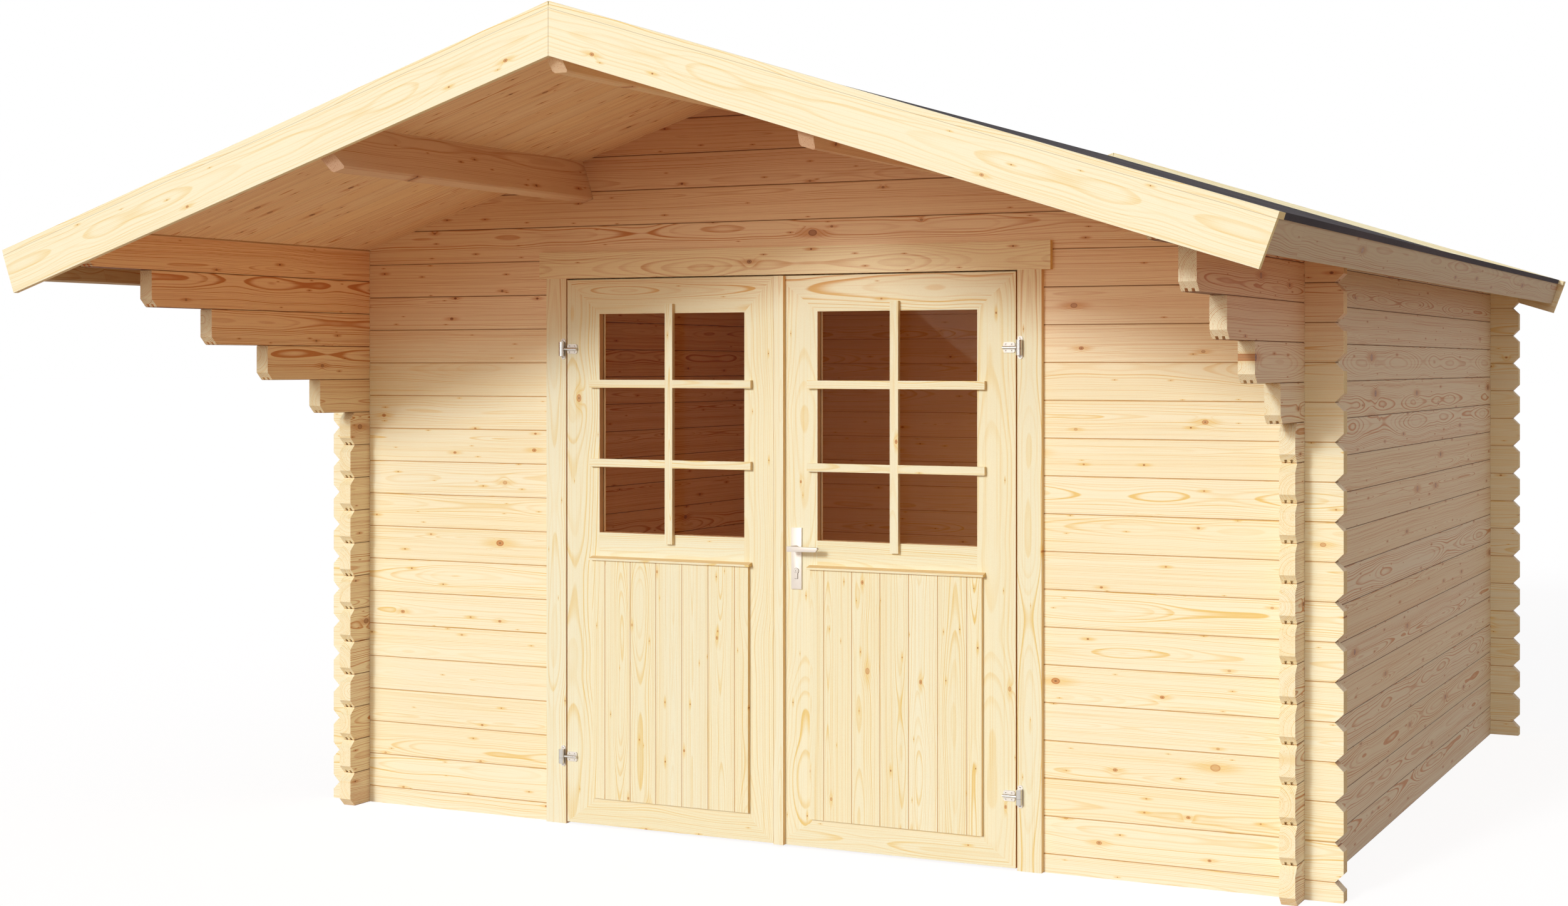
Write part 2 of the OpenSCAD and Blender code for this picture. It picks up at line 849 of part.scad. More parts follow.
// neck and tapered grip with a cut end
module lever() {
    lz = lock_z + lever_up;
    ly = y_face - lock_t - lever_out;
    color("silver") {
        translate([lock_x, y_face - lock_t - 1, lz])
            rotate([90, 0, 0])
                cylinder(r = neck_r, h = lever_out - 1, $fn = 48);
        along_y(ly - lever_d / 2, ly + lever_d / 2, [
            [lock_x - lever_h / 2, lz - lever_h / 2 + 1], [lock_x - lever_h / 2 + 1, lz - lever_h / 2],
            [lock_x + lever_len - lever_tip / 2, lz - lever_tip / 2],
            [lock_x + lever_len, lz + lever_tip / 4], [lock_x + lever_len - 2, lz + lever_tip / 2],
            [lock_x - lever_h / 2 + 1, lz + lever_h / 2], [lock_x - lever_h / 2, lz + lever_h / 2 - 1]
        ]);
    }
}

wall_front_left();
wall_front_right();
gable_front();
wall_rear();
wall_left();
wall_right();
purlin_ridge();
purlin_left();
purlin_right();
deck_left();
deck_right();
felt_left();
felt_right();
fascia_left();
fascia_right();
bargeboards_left();
bargeboards_right();
caps_left();
caps_right();
door_casings();
door_header();
door_jambs();
door_head();
door_sill();
floor_deck();
hinge_frames();
left_stiles();
left_rails();
left_glass();
left_bars();
left_panel();
left_drip();
left_hinges();
right_stiles();
right_rails();
right_glass();
right_bars();
right_panel();
right_drip();
right_hinges();
cover_strip();
lock_plate();
lever();
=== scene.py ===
import math

import bmesh
import bpy
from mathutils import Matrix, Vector


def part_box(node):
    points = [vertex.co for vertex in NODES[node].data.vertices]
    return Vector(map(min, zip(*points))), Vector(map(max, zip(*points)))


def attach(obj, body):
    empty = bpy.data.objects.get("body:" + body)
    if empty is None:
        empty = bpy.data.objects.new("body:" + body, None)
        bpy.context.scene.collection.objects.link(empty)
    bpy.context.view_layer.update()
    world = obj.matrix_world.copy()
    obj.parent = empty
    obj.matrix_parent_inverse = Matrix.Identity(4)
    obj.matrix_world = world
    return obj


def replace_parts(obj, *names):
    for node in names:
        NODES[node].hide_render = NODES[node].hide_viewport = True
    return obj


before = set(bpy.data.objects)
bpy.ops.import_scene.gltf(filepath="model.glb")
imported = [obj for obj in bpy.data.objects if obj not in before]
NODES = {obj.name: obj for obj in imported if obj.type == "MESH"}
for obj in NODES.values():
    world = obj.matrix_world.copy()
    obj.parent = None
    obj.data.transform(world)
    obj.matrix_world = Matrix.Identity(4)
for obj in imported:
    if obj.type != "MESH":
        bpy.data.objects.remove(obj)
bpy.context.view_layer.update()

X, Y, Z = (1, 0, 0), (0, 1, 0), (0, 0, 1)
SIDES = (("left", -1), ("right", 1))

# ---------------------------------------------------------------- sizes, in metres
LOG = 0.114                      # height of a log
WALL = 0.046                     # thickness of a wall
DECK = 0.020                     # thickness of the roof boards
PITCH = math.radians(17.56)      # slope of the roof
CP, SP = math.cos(PITCH), math.sin(PITCH)
SOFFIT_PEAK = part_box("deck_left")[1].z - DECK / CP
SOFFIT = CP * SOFFIT_PEAK        # the roof boards' underside, counted square to the slope
BARGE_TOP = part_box("bargeboards_left")[1].z
BARGE_HALF = 0.009               # half the thickness of a bargeboard
Y_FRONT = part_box("wall_front_left")[0].y
Y_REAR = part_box("wall_rear")[1].y
Y_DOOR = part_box("door_casings")[0].y
X_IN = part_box("gable_front")[1].x - WALL
FASCIA_JOINT = -2.04             # y of the butt joint in the eave boards
SHEET = 0.93                     # felt that one sheet shows down the slope

# middles of the roof's boards below the roof boards' underside, and of the cap strips along y
RIDGE_DOWN, PURLIN_DOWN, BARGE_DOWN, FASCIA_DOWN = 0.069, 0.066, 0.0345, 0.017
CAP_Y = 2.373

# middles of the door's boards; the boards of a pair lie a whole number of rows apart
CASING_X = 0.83875
STILE_X = 0.7325
STILE_ROW = {"left": 0.6545 / 4, "right": 0.169}
RAIL_Z, RAIL_ROW = 1.758, 0.2086
BAR_X, BAR_HALF = 0.400, 0.0141
CROSSBAR_Z, CROSSBAR_ROW = 1.20833, 0.26133 / 4
PANEL_IN, PANEL_W, PANEL_BOARDS = 0.11, 0.58, 6
HEADER_Z, HEAD_Z, SILL_Z, DRIP_Z = 1.864, 1.85, 0.0225, 0.8925

# heights between which wood of the front gets its painted shade under the canopy
CANOPY_LOGS = (1.42, 1.78)
CANOPY_GABLE = (1.90, 2.35)
CANOPY_CASINGS = (1.52, 1.82)
CANOPY_LEAVES = (1.66, 1.88)
# the same for the painted shade on the sides of the log ends in front, and the heights from the
# room's deeper painted shade to its lighter lower one
CORBEL_SIDES = (1.05, 1.75)
ROOM_LOW = (1.65, 1.05)

# middles of the hinges, faces of the plates in front of the wood, and how far the cylinder's
# middle lies above the foot of the lock plate
HINGE_Z = (0.191 + 0.035, 1.550 + 0.035)
FRAME_PLATE, LEAF_PLATE, LOCK_PLATE = 0.003, 0.004, 0.0065
CYLINDER_UP = 0.058


# ---------------------------------------------------------------- colours and tones
def srgb(r, g, b):
    """An 8-bit display colour as linear RGBA."""
    def linear(c):
        c /= 255
        return c / 12.92 if c <= 0.04045 else ((c + 0.055) / 1.055) ** 2.4
    return (linear(r), linear(g), linear(b), 1.0)


PALE = srgb(248, 243, 213)
LATE = srgb(234, 204, 126)
KNOT = srgb(194, 126, 64)
GAP = srgb(204, 160, 102)
FINE_LINE = srgb(184, 160, 124)
# painted shade: deeper copies of the late wood, knots and joints, for wood drawn as lying in shade
SHADE_LATE = srgb(206, 152, 98)
SHADE_KNOT = srgb(128, 68, 42)
SHADE_GAP = srgb(124, 84, 54)
SHADE = dict(late=SHADE_LATE, knot=SHADE_KNOT, gap=SHADE_GAP)
DOOR = dict(pale=srgb(239, 238, 210), late=srgb(229, 204, 130))

# tones multiply a colour: end grain, hearts of knots, specks and scratched metal are the wood's and
# metal's own; all the others are painted shade
END = (0.94, 0.885, 0.63)
GOLDEN_END = (0.84, 0.92, 0.54)
HEART = (0.34, 0.23, 0.20)
SPECK = (0.94, 0.91, 0.88)
# painted shade: warm under the canopy, on the sides of the log ends in front, at the door, deep on
# the gable, on the walls' sides and rear, and in the room
PAINTED_WARM_SHADE = (1.04, 0.88, 0.81)
PAINTED_LEFT_CORBEL_SHADE = (1.04, 0.90, 0.79)
PAINTED_RIGHT_CORBEL_SHADE = (0.94, 0.86, 0.83)
PAINTED_DOOR_SHADE = (1.05, 0.93, 0.82)
PAINTED_GABLE_SHADE = (0.76, 0.61, 0.58)
PAINTED_SIDE_SHADE = (0.88, 0.82, 0.79)
PAINTED_ROOM_SHADE = (0.92, 0.58, 0.34)
PAINTED_ROOM_SHADE_LOW = (1.0, 0.70, 0.50)
# painted shadow in the joint under the deck
PAINTED_JOINT_SHADOW = (0.45, 0.32, 0.26)
# painted shade on the roof's underside, its purlins and eave boards, and on the door's header
PAINTED_DECK_SHADE = (1.04, 0.845, 0.76)
PAINTED_PURLIN_SHADE = (0.88, 0.66, 0.61)
PAINTED_FASCIA_SHADE = (0.62, 0.56, 0.51)
PAINTED_HEADER_SHADE = (1.02, 0.93, 0.82)
# painted shade on faces of the door's boards that don't look to the front or back
PAINTED_BOARD_EDGE_SHADE = (1.0, 0.78, 0.58)
PAINTED_FRAME_EDGE_SHADE = (1.0, 0.64, 0.44)
PAINTED_DRIP_EDGE_SHADE = (1.0, 0.80, 0.62)
PAINTED_STRIP_EDGE_SHADE = (1.0, 0.76, 0.54)
PAINTED_BAR_EDGE_SHADE = (0.95, 0.78, 0.62)
SCRATCHED = (0.62, 0.61, 0.60)


# ---------------------------------------------------------------- node helpers
class Tree:
    """Short calls that add nodes to a node tree and return output sockets."""

    def __init__(self, tree):
        self.tree = tree

    def add(self, kind, **settings):
        node = self.tree.nodes.new("ShaderNode" + kind)
        for key, value in settings.items():
            setattr(node, key, value)
        return node

    def feed(self, socket, value):
        if isinstance(value, bpy.types.NodeSocket):
            self.tree.links.new(value, socket)
        else:
            socket.default_value = value

    def math(self, kind, *values, clamp=False):
        node = self.add("Math", operation=kind, use_clamp=clamp)
        for socket, value in zip(node.inputs, values):
            self.feed(socket, value)
        return node.outputs[0]

    def plus(self, a, b):
        return self.math("ADD", a, b)

    def minus(self, a, b):
        return self.math("SUBTRACT", a, b)

    def times(self, a, b):
        return self.math("MULTIPLY", a, b)

    def over(self, a, b):
        return self.math("DIVIDE", a, b)

    def muladd(self, a, b, c):
        return self.math("MULTIPLY_ADD", a, b, c)

    def size(self, a):
        return self.math("ABSOLUTE", a)

    def dot(self, a, b):
        node = self.add("VectorMath", operation="DOT_PRODUCT")
        self.feed(node.inputs[0], a)
        self.feed(node.inputs[1], b)
        return node.outputs["Value"]

    def scaled(self, a, b):
        node = self.add("VectorMath", operation="MULTIPLY")
        self.feed(node.inputs[0], a)
        self.feed(node.inputs[1], b)
        return node.outputs["Vector"]

    def join(self, x, y, z=0.0):
        node = self.add("CombineXYZ")
        for socket, value in zip(node.inputs, (x, y, z)):
            self.feed(socket, value)
        return node.outputs[0]

    def split(self, vector):
        node = self.add("SeparateXYZ")
        self.feed(node.inputs[0], vector)
        return node.outputs[0], node.outputs[1], node.outputs[2]

    def ramp(self, value, a, b, to_a=0.0, to_b=1.0):
        """Smooth step from to_a, where the value is a, to to_b, where it is b."""
        node = self.add("MapRange", interpolation_type="SMOOTHSTEP")
        for socket, item in zip(node.inputs, (value, a, b, to_a, to_b)):
            self.feed(socket, item)
        return node.outputs[0]

    def mix(self, share, a, b, blend="MIX"):
        node = self.add("Mix", data_type="RGBA", blend_type=blend)
        self.feed(node.inputs[0], share)
        self.feed(node.inputs[6], a)
        self.feed(node.inputs[7], b)
        return node.outputs[2]

    def tinted(self, colour, tone):
        return self.mix(1.0, colour, tone, "MULTIPLY")

    def noise(self, vector, scale=1.0, detail=1.0, rough=0.5, colour=False):
        node = self.add("TexNoise")
        self.feed(node.inputs["Vector"], vector)
        node.inputs["Scale"].default_value = scale
        node.inputs["Detail"].default_value = detail
        node.inputs["Roughness"].default_value = rough
        return node.outputs["Color" if colour else "Fac"]

    def random(self, vector):
        """Three random values for this vector."""
        node = self.add("TexWhiteNoise")
        self.feed(node.inputs["Vector"], vector)
        return self.split(node.outputs["Color"])

    def cells(self, vector):
        """Nearest cell point of a 2-D pattern: its position and three random values."""
        node = self.add("TexVoronoi", voronoi_dimensions="2D")
        self.feed(node.inputs["Vector"], vector)
        node.inputs["Scale"].default_value = 1.0
        node.inputs["Randomness"].default_value = 0.9
        return self.split(node.outputs["Position"]), self.split(node.outputs["Color"])


def material(name):
    """A new material: itself, its tree, its shader and the place on the object."""
    made = bpy.data.materials.new(name)
    made.use_nodes = True
    t = Tree(made.node_tree)
    shader = made.node_tree.nodes["Principled BSDF"]
    where = t.add("TexCoord").outputs["Object"]
    return made, t, shader, where


def dress(made, *names):
    """Give CAD nodes this material."""
    for name in names:
        mesh = NODES[name].data
        mesh.materials.clear()
        mesh.materials.append(made)


def bump(t, shader, height, strength, distance):
    """Relief of the surface, up to this distance in metres."""
    node = t.add("Bump")
    node.inputs["Strength"].default_value = strength
    node.inputs["Distance"].default_value = distance
    t.feed(node.inputs["Height"], height)
    t.feed(shader.inputs["Normal"], node.outputs[0])


def facing(t, axis, both=True):
    """How squarely the surface faces along an axis, or both ways along it."""
    turned = t.dot(t.add("TexCoord").outputs["Normal"], axis)
    return t.size(turned) if both else turned


def toned(t, share, colour, tone):
    """The colour, multiplied by a tone where share is 1."""
    return t.mix(share, colour, t.tinted(colour, tone + (1.0,)))


def show_mix(t, made, share, first, second):
    """Show the second shader where share is 1, and the first elsewhere."""
    both = t.add("MixShader")
    t.feed(both.inputs[0], share)
    t.feed(both.inputs[1], first.outputs[0])
    t.feed(both.inputs[2], second.outputs[0])
    t.feed(made.node_tree.nodes["Material Output"].inputs[0], both.outputs[0])


def seen_straight(t):
    """1 for what the camera sees, also through glass and in metal, and 0 for bounced light."""
    path = t.add("LightPath").outputs
    mirrored = t.plus(path["Is Glossy Ray"], path["Is Transmission Ray"])
    return t.math("ADD", path["Is Camera Ray"], mirrored, clamp=True)


# ---------------------------------------------------------------- softwood
# sizes in metres; rates are per metre, first along the fibres and then across them
LOG_LENGTH = 61.0                # each board starts at a random place in this length of wood
PITH_RATE, PITH_SWAY_A, PITH_SWAY_D = 1.7, 0.030, 0.050
RIPPLE, CLOUD, LINE, FIBRE = (2.4, 16.0), (1.1, 14.0), (1.3, 250.0), (12.0, 520.0)
KNOT_OVAL, STREAK_OVAL = 0.45, 0.05
LARGE_KNOTS = dict(step_l=0.36, step_a=0.085, seed=3.7, small=0.0032, large=0.0115, share=1.0)
PIN_KNOTS = dict(step_l=0.17, step_a=0.045, seed=91.3, small=0.0010, large=0.0030, share=0.8)
WOOD_VALUES = ("l", "a", "d", "board", "shift", "seed", "pith", "ring", "knots", "seam", "lines")
WOOD_COLOURS = ("pale", "late", "knot", "gap")


def drawn_out(t, along, across, depth, rates):
    """Place for a noise that is drawn out along the fibres."""
    return t.join(t.times(along, rates[0]), t.times(across, rates[1]), t.times(depth, rates[1]))


def pith_distance(t, given, index, along, across, chances):
    """Distance to the pith, which lies behind or before the face and wanders along the board."""
    which_side, place, depth = chances
    sway = t.noise(t.join(t.times(along, PITH_RATE), t.times(index, 3.7), given["seed"]),
                   detail=1.5, rough=0.5, colour=True)
    sway_a, sway_d, _ = t.split(sway)
    side = t.muladd(t.math("ROUND", which_side), 2.0, -1.0)
    pith_a = t.plus(t.times(t.minus(place, 0.5), t.times(given["board"], 0.70)),
                    t.times(t.minus(sway_a, 0.5), PITH_SWAY_A))
    deep = t.muladd(depth, given["pith"], t.times(given["pith"], 0.40))
    pith_d = t.plus(t.times(side, deep), t.times(t.minus(sway_d, 0.5), PITH_SWAY_D))
    da = t.minus(across, pith_a)
    dd = t.minus(given["d"], pith_d)
    return t.math("SQRT", t.plus(t.times(da, da), t.times(dd, dd)))


def knot_layer(t, given, index, part, along, step_l, step_a, seed, small, large, share):
    """Knots of one kind, cut off where the board ends.

    Distance in knot sizes, the same drawn out along the fibres, size, 1 where it shows, tone.
    """
    u = t.plus(t.over(along, step_l), seed)
    v = t.muladd(index, 3.0, t.over(t.times(part, given["board"]), step_a))
    at, chance = t.cells(t.join(u, v))
    dl = t.times(t.minus(u, at[0]), step_l)
    dk = t.times(t.minus(v, at[1]), step_a)
    size = t.muladd(t.math("POWER", chance[1], 2.5), large - small, small)
    shown = t.math("LESS_THAN", chance[0], t.times(given["knots"], share))
    dl, dk = t.times(dl, dl), t.times(dk, dk)
    near = t.over(t.math("SQRT", t.muladd(dl, KNOT_OVAL, dk)), size)
    streak = t.over(t.math("SQRT", t.muladd(dl, STREAK_OVAL, dk)), size)
    return near, streak, size, shown, chance[2]


def year_rings(t, given, index, along, across, radius):
    """Strength of the late wood: a soft early side, a sharp late edge, each year of its own."""
    ripple = t.noise(drawn_out(t, along, across, given["d"], RIPPLE), detail=1.0, rough=0.4)
    turn = t.muladd(t.minus(ripple, 0.5), 0.7, t.over(radius, given["ring"]))
    year = t.math("FLOOR", turn)
    phase = t.minus(turn, year)
    strength, width, _ = t.random(t.join(year, index, given["seed"]))
    early = t.ramp(phase, t.muladd(width, 0.35, 0.30), 0.86)
    late = t.ramp(phase, 0.90, 1.0, 1.0, 0.0)
    return t.times(t.times(early, late), t.muladd(t.times(strength, strength), 0.80, 0.20))


def board_tone(t, cloud, light, hue):
    """Colour to multiply by, a little different on each board and along it."""
    red = t.muladd(t.minus(light, 0.5), 0.020, t.muladd(t.minus(cloud, 0.5), 0.03, 0.995))
    tone = t.add("CombineColor")
    t.feed(tone.inputs[0], red)
    t.feed(tone.inputs[1], t.muladd(t.minus(hue, 0.5), 0.025, red))
    t.feed(tone.inputs[2], t.muladd(t.minus(hue, 0.5), 0.09, red))
    return tone.outputs[0]


def large_knots(t, given, colour, dark, knots):
    """The colour with the streaks, bodies and dark hearts of the large knots, and the bodies."""
    far, streak, _, shown, tone = knots
    golden = t.times(t.times(t.ramp(streak, 2.4, 0.5), shown), 0.65)
    colour = t.mix(golden, colour, given["late"])
    body = t.times(t.ramp(far, 1.10, 0.90), shown)
    rim = t.times(t.ramp(far, 0.62, 0.95), 0.30)
    knot_tone = t.plus(rim, t.muladd(tone, 0.35, 0.42))
    colour = t.mix(t.math("MULTIPLY", body, knot_tone, clamp=True), colour, given["knot"])
    hearted = t.times(shown, t.math("GREATER_THAN", tone, 0.45))
    heart = t.times(t.ramp(far, 0.45, 0.15), hearted)
    return t.mix(t.times(heart, 0.70), colour, dark), body


def pin_knots(t, given, colour, dark, knots):
    """The colour with the streaks, bodies and dark hearts of the pin knots."""
    far, streak, _, shown, tone = knots
    golden = t.times(t.times(t.ramp(streak, 3.0, 0.6), shown), 0.80)
    colour = t.mix(golden, colour, given["late"])
    body = t.times(t.ramp(far, 1.25, 0.55), shown)
    colour = t.mix(t.times(body, 0.80), colour, given["knot"])
    hearted = t.times(shown, t.math("GREATER_THAN", tone, 0.5))
    heart = t.times(t.ramp(far, 0.75, 0.3), hearted)
    return t.mix(t.times(heart, 0.85), colour, dark)


def board_joint(t, given, part):
    """1 in the open joint between two boards, where the wood has a seam."""
    edge = t.times(t.minus(0.5, t.size(t.minus(part, 0.5))), given["board"])
    joint = t.ramp(edge, given["seam"], t.times(given["seam"], 0.45))
    return t.times(joint, t.math("GREATER_THAN", given["seam"], 0.00001))


def wood_group():
    """Softwood cut from a log: year rings round a wandering pith, knots, fibres, board joints.

    l runs along the board, a across its face and d through it, in metres.
    """
    group = bpy.data.node_groups.new("softwood", "ShaderNodeTree")
    for kind, names in (("Float", WOOD_VALUES), ("Color", WOOD_COLOURS)):
        for name in names:
            group.interface.new_socket(name=name, in_out="INPUT", socket_type="NodeSocket" + kind)
    for name, kind in (("colour", "Color"), ("rough", "Float")):
        group.interface.new_socket(name=name, in_out="OUTPUT", socket_type="NodeSocket" + kind)
    t = Tree(group)
    given = group.nodes.new("NodeGroupInput").outputs

    # which board this is, and three plus three random values of it
    row = t.over(t.minus(given["a"], given["shift"]), given["board"])
    index = t.math("FLOOR", row)
    part = t.minus(row, index)
    start, which_side, place = t.random(t.join(index, given["seed"], 0.5))
    depth, light, hue = t.random(t.join(index, given["seed"], 7.5))
    along = t.muladd(start, LOG_LENGTH, given["l"])
    across = t.times(t.minus(part, 0.5), given["board"])

    # rings, which bulge round the large knots
    large = knot_layer(t, given, index, part, along, **LARGE_KNOTS)
    pins = knot_layer(t, given, index, part, along, **PIN_KNOTS)
    far, _, size, shown, _ = large
    bulge = t.math("EXPONENT", t.times(t.times(far, far), -0.14))
    radius = pith_distance(t, given, index, along, across, (which_side, place, depth))
    radius = t.plus(radius, t.times(t.times(bulge, size), shown))
    band = year_rings(t, given, index, along, across, radius)

    # fine parallel lines, fibres and slow changes of tone
    line = t.noise(drawn_out(t, along, across, given["d"], LINE), detail=1.0, rough=0.7)
    fibre = t.noise(drawn_out(t, along, across, given["d"], FIBRE), detail=1.0, rough=0.6)
    slow = t.join(t.times(along, CLOUD[0]), t.times(across, CLOUD[1]),
                  t.plus(index, given["seed"]))
    cloud = t.noise(slow, detail=1.0)
    share = t.times(given["lines"], t.muladd(t.minus(cloud, 0.35), 1.4, 0.75))
    share = t.muladd(t.ramp(line, 0.52, 0.72), 0.38, t.times(band, share))
    share = t.muladd(fibre, -0.30, t.plus(share, 0.15))
    share = t.math("MAXIMUM", t.math("MINIMUM", share, 1.0), 0.0)
    colour = t.mix(share, given["pale"], given["late"])
    colour = t.tinted(colour, board_tone(t, cloud, light, hue))

    dark = t.tinted(given["knot"], HEART + (1.0,))
    colour, body = large_knots(t, given, colour, dark, large)
    colour = pin_knots(t, given, colour, dark, pins)
    colour = t.mix(t.times(board_joint(t, given, part), 0.90), colour, given["gap"])

    rough = t.muladd(band, -0.08, t.muladd(fibre, 0.16, 0.56))
    out = group.nodes.new("NodeGroupOutput")
    t.feed(out.inputs["colour"], colour)
    t.feed(out.inputs["rough"], t.minus(rough, t.times(body, 0.12)))
    return group


WOOD = wood_group()
CUT = dict(board=0.3, shift=0.0, seed=0.0, pith=0.034, ring=0.0037, knots=0.40, seam=0.0,
           lines=1.0, pale=PALE, late=LATE, knot=KNOT, gap=GAP)
SPLICE_SHIFT = 5.3               # wood beyond a butt joint comes from this much further on


def reach(names, axis):
    """Lowest and highest place of these CAD nodes along an axis."""
    places = [Vector(axis).dot(v.co) for name in names for v in NODES[name].data.vertices]
    return min(places), max(places)


def one(middle, width):
    """A single board round a middle, for wood that isn't in rows; its pith lies in this width."""
    return dict(board=width, shift=middle - width / 2)


def cut(t, where, names, length, across, through, twin=False, splice=None, **looks):
    """One softwood cut, placed by three unit vectors; returns the group's outputs.

    The depth counts from the middle of the nodes. Twins are a front and a rear bargeboard in one
    node, and there it counts from the middle of each board. A splice is the place of a butt joint.
    """
    node = t.add("Group", node_tree=WOOD)
    along = t.dot(where, length)
    if splice is not None:
        along = t.muladd(t.math("LESS_THAN", along, splice), SPLICE_SHIFT, along)
    depth = t.dot(where, through)
    low, high = reach(names, through)
    if twin:
        depth = t.minus(t.size(depth), high - BARGE_HALF)
    else:
        depth = t.minus(depth, (low + high) / 2)
    places = dict(l=along, a=t.dot(where, across), d=depth)
    for name, value in {**CUT, **looks, **places}.items():
        t.feed(node.inputs[name], value)
    return node.outputs


def finish_wood(t, shader, where, colour, rough, length, end=END):
    """Colour, sheen and fine relief of planed wood whose fibres run along length."""
    speck = t.noise(where, 520.0, 1.0)
    colour = toned(t, t.ramp(speck, 0.35, 0.75, 0.0, 0.5), colour, SPECK)
    if end:
        colour = toned(t, t.ramp(facing(t, length), 0.75, 0.9), colour, end)
    t.feed(shader.inputs["Base Color"], colour)
    t.feed(shader.inputs["Roughness"], rough)
    shader.inputs["Specular IOR Level"].default_value = 0.30
    stretch = tuple(260.0 - 252.0 * abs(c) for c in length)
    bump(t, shader, t.noise(t.scaled(where, stretch), detail=1.0), 0.35, 0.0004)


def wood(names, length, across, through, tint=None, sides=None, line=None, shaded=None, end=END,
         **looks):
    """Dress CAD nodes in one softwood of their own.

    A tint paints shade on all but the ends, sides paints shade on what faces across, line adds a
    thin joint, and shaded gives the two heights between which the wood gets its painted shade
    under the canopy.
    """
    names = names.split()
    made, t, shader, where = material(names[0] + "_wood")
    if shaded:
        shade = t.ramp(t.dot(where, Z), *shaded)
        looks.update(late=t.mix(shade, looks.get("late", LATE), SHADE_LATE),
                     knot=t.mix(shade, looks.get("knot", KNOT), SHADE_KNOT))
    out = cut(t, where, names, length, across, through, **looks)
    colour = out["colour"]
    # painted shade on the door's wood under the canopy
    if shaded:
        colour = toned(t, shade, colour, PAINTED_DOOR_SHADE)
    if tint:
        colour = toned(t, t.ramp(facing(t, length), 0.9, 0.75), colour, tint)
    if sides:
        colour = toned(t, t.ramp(facing(t, Y), 0.6, 0.3), colour, sides)
    if line:
        colour = t.mix(line(t, where), colour, FINE_LINE)
    finish_wood(t, shader, where, colour, out["rough"], length, end=end)
    dress(made, *names)


# ---------------------------------------------------------------- log walls
NEAR = 0.004                     # how far past the inner faces of the walls the room's painted shade reaches


def canopy(t, where, low, high):
    """How far a place of the front wall or a corbel lies up under the canopy."""
    _, y, z = t.split(where)
    return t.times(t.ramp(y, Y_FRONT + 0.10, Y_FRONT + 0.02), t.ramp(z, low, high))


def in_room(t, where):
    """1 on the inner faces of the walls."""
    x, y, _ = t.split(where)
    inside = t.math("LESS_THAN", t.size(x), X_IN + NEAR)
    inside = t.times(inside, t.math("GREATER_THAN", y, Y_FRONT + WALL - NEAR))
    return t.times(inside, t.math("LESS_THAN", y, Y_REAR - WALL + NEAR))


def ridge_height(t, where):
    """Height at which a line up the slope from here meets the ridge."""
    x, _, z = t.split(where)
    return t.muladd(t.size(x), SP / CP, z)


def log_wall(names, length, through, shift, seed, corbels=PAINTED_WARM_SHADE, lines=1.0):
    """Log wall: pale on the front, deeper on its sides and rear, under the canopy and inside."""
    names = names.split()
    made, t, shader, where = material(names[0] + "_wood")
    _, y, z = t.split(where)
    # painted shade: under the canopy and on faces that turn sideways or to the rear, the wood takes
    # the shade palette
    shade = canopy(t, where, *CANOPY_LOGS)
    turned = t.math("MAXIMUM", t.ramp(facing(t, X), 0.4, 0.6),
                    t.ramp(facing(t, Y, both=False), 0.4, 0.6))
    dim = t.math("MAXIMUM", shade, turned)
    dimmed = dict(late=t.mix(dim, LATE, SHADE_LATE), knot=t.mix(dim, KNOT, SHADE_KNOT),
                  gap=t.mix(dim, GAP, SHADE_GAP))
    out = cut(t, where, names, length, Z, through, board=LOG, shift=shift, seed=seed,
              seam=0.0018, lines=lines, **dimmed)

    # painted shade on the wall and the log ends under the canopy, on the sides of the log ends in
    # front, on the gable, and on faces that turn sideways or to the rear
    out_front = t.ramp(y, Y_FRONT - 0.001, Y_FRONT - 0.004)
    flat = t.ramp(facing(t, Y), 0.4, 0.6)
    sheltered = t.times(shade, t.minus(1.0, t.times(out_front, flat)))
    colour = toned(t, sheltered, out["colour"], PAINTED_WARM_SHADE)
    corbel = t.times(t.times(out_front, t.ramp(z, *CORBEL_SIDES, 0.35)), t.minus(1.0, flat))
    colour = toned(t, corbel, colour, corbels)
    gable = t.times(canopy(t, where, *CANOPY_GABLE), t.minus(1.0, out_front))
    colour = toned(t, gable, colour, PAINTED_GABLE_SHADE)
    colour = toned(t, t.times(turned, t.ramp(y, Y_FRONT, Y_FRONT + 0.01)), colour, PAINTED_SIDE_SHADE)
    if length == Y:
        # painted shadow in the joint between the top log and the deck that rests on it
        joint = t.ramp(ridge_height(t, where), SOFFIT_PEAK - 0.007, SOFFIT_PEAK - 0.003)
        colour = toned(t, t.times(joint, 0.8), colour, PAINTED_JOINT_SHADOW)

    # painted shade on the walls' inner faces: deep and red at the top, lighter low down
    inside = in_room(t, where)
    low = t.ramp(z, *ROOM_LOW)
    colour = toned(t, t.times(inside, t.minus(1.0, low)), colour, PAINTED_ROOM_SHADE)
    colour = toned(t, t.times(inside, low), colour, PAINTED_ROOM_SHADE_LOW)
    finish_wood(t, shader, where, colour, out["rough"], length, end=END if length == X else None)
    dress(made, *names)


log_wall("wall_front_left wall_front_right gable_front", X, Y, LOG / 2, 1.0)
log_wall("wall_left", Y, X, 0.0, 2.0, corbels=PAINTED_LEFT_CORBEL_SHADE, lines=1.5)
log_wall("wall_right", Y, X, 0.0, 3.0, corbels=PAINTED_RIGHT_CORBEL_SHADE, lines=1.5)
log_wall("wall_rear", X, Y, LOG / 2, 4.0)


